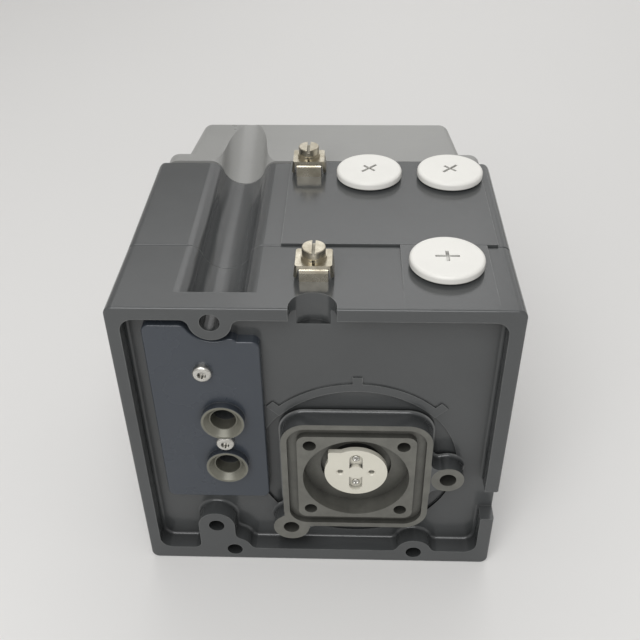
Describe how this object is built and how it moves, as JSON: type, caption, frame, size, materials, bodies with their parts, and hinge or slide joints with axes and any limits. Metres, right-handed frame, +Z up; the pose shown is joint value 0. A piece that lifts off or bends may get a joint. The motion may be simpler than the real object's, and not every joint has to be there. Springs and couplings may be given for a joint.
{
  "type": "valve positioner",
  "caption": "Electro-pneumatic valve positioner: cast housing in three sections, square mounting flange with rotary feedback coupling, air port plate, blanked conduit ports, ground clamps.",
  "frame": {"origin": "centre of the bounding box's underside; the object stands on its lower side", "axes": "+Z up, -Y out of the mounting face with the flange and the coupling, +Y towards the cover and its window, +X to the right as seen from behind"},
  "size_m": [0.141, 0.144, 0.1435],
  "materials": {
    "frame_paint": "semi-gloss grey paint on cast metal",
    "cover_paint": "satin light grey paint",
    "plate_paint": "satin dark grey paint",
    "seal_rubber": "matt",
    "pane": "clear",
    "zinc_steel": "zinc plated",
    "nickel_steel": "nickel plated",
    "coupling_plastic": "semi-gloss",
    "plug_plastic": "satin",
    "shaft_steel": "ground",
    "bronze": "sintered",
    "aluminium": "machined",
    "magnet_nickel": "plated",
    "board_green": "solder mask",
    "chip_black": "moulded",
    "terminal_plastic": "moulded",
    "carrier_plastic": "moulded",
    "display_glass": "display face"
  },
  "bodies": {
    "housing": {"rear_frame": "frame_paint", "middle_housing": "frame_paint", "front_cover": "cover_paint", "port_plate": "plate_paint", "housing_gasket": "seal_rubber", "cover_gasket": "seal_rubber", "window_pane": "pane", "cover_screws": "zinc_steel", "frame_screws": "zinc_steel", "port_plate_screws": "zinc_steel", "port_seals": "seal_rubber", "shaft_bushes": "bronze", "shaft_seal": "seal_rubber", "main_board": "board_green", "board_screws": "zinc_steel", "position_sensor": "chip_black", "terminal_block": "terminal_plastic", "terminal_screws": "zinc_steel", "display_carrier": "carrier_plastic", "display": "display_glass", "pneumatic_block": "aluminium", "block_screws": "zinc_steel", "pressure_converter": "carrier_plastic", "near_clamp_saddle": "nickel_steel", "far_clamp_saddle": "nickel_steel"},
    "feedback_drive": {"feedback_coupling": "coupling_plastic", "feedback_shaft": "shaft_steel", "shaft_circlip": "zinc_steel", "magnet_holder": "aluminium", "magnet": "magnet_nickel"},
    "rear_plug_body": {"rear_plug": "plug_plastic", "rear_plug_seal": "seal_rubber"},
    "left_plug_body": {"left_plug": "plug_plastic", "left_plug_seal": "seal_rubber"},
    "right_plug_body": {"right_plug": "plug_plastic", "right_plug_seal": "seal_rubber"},
    "near_clamp": {"near_clamp_bracket": "nickel_steel", "near_clamp_washer": "nickel_steel"},
    "near_screw": {"near_clamp_screw": "nickel_steel"},
    "far_clamp": {"far_clamp_bracket": "nickel_steel", "far_clamp_washer": "nickel_steel"},
    "far_screw": {"far_clamp_screw": "nickel_steel"},
    "selector": {"selector_knob": "chip_black"}
  },
  "joints": [
    {"name": "feedback_turn", "type": "hinge", "parent": "housing", "child": "feedback_drive", "pos_m": [0.015, -0.0688, 0.0505], "axis": [0, 1, 0], "range_deg": [-10, 100]},
    {"name": "rear_plug_out", "type": "slide", "parent": "housing", "child": "rear_plug_body", "axis": [0, 0, 1], "range_m": [0, 0.012]},
    {"name": "left_plug_out", "type": "slide", "parent": "housing", "child": "left_plug_body", "axis": [0, 0, 1], "range_m": [0, 0.012]},
    {"name": "right_plug_out", "type": "slide", "parent": "housing", "child": "right_plug_body", "axis": [0, 0, 1], "range_m": [0, 0.012]},
    {"name": "near_clamp_lift", "type": "slide", "parent": "housing", "child": "near_clamp", "axis": [0, 0, 1], "range_m": [0, 0.002]},
    {"name": "near_screw_turn", "type": "hinge", "parent": "near_clamp", "child": "near_screw", "pos_m": [-0.0006, -0.0509, 0.1396], "axis": [0, 0, 1], "range_deg": [0, 901]},
    {"name": "far_clamp_lift", "type": "slide", "parent": "housing", "child": "far_clamp", "axis": [0, 0, 1], "range_m": [0, 0.002]},
    {"name": "far_screw_turn", "type": "hinge", "parent": "far_clamp", "child": "far_screw", "pos_m": [-0.0054, 0.0244, 0.14], "axis": [0, 0, 1], "range_deg": [0, 901]},
    {"name": "selector_turn", "type": "hinge", "parent": "housing", "child": "selector", "pos_m": [0.026, 0.0563, 0.056], "axis": [0, 1, 0], "continuous": true}
  ],
  "couplings": [
    {"joint": "near_screw_turn", "follows": "near_clamp_lift", "rad_per_m": 7854},
    {"joint": "far_screw_turn", "follows": "far_clamp_lift", "rad_per_m": 7854}
  ]
}
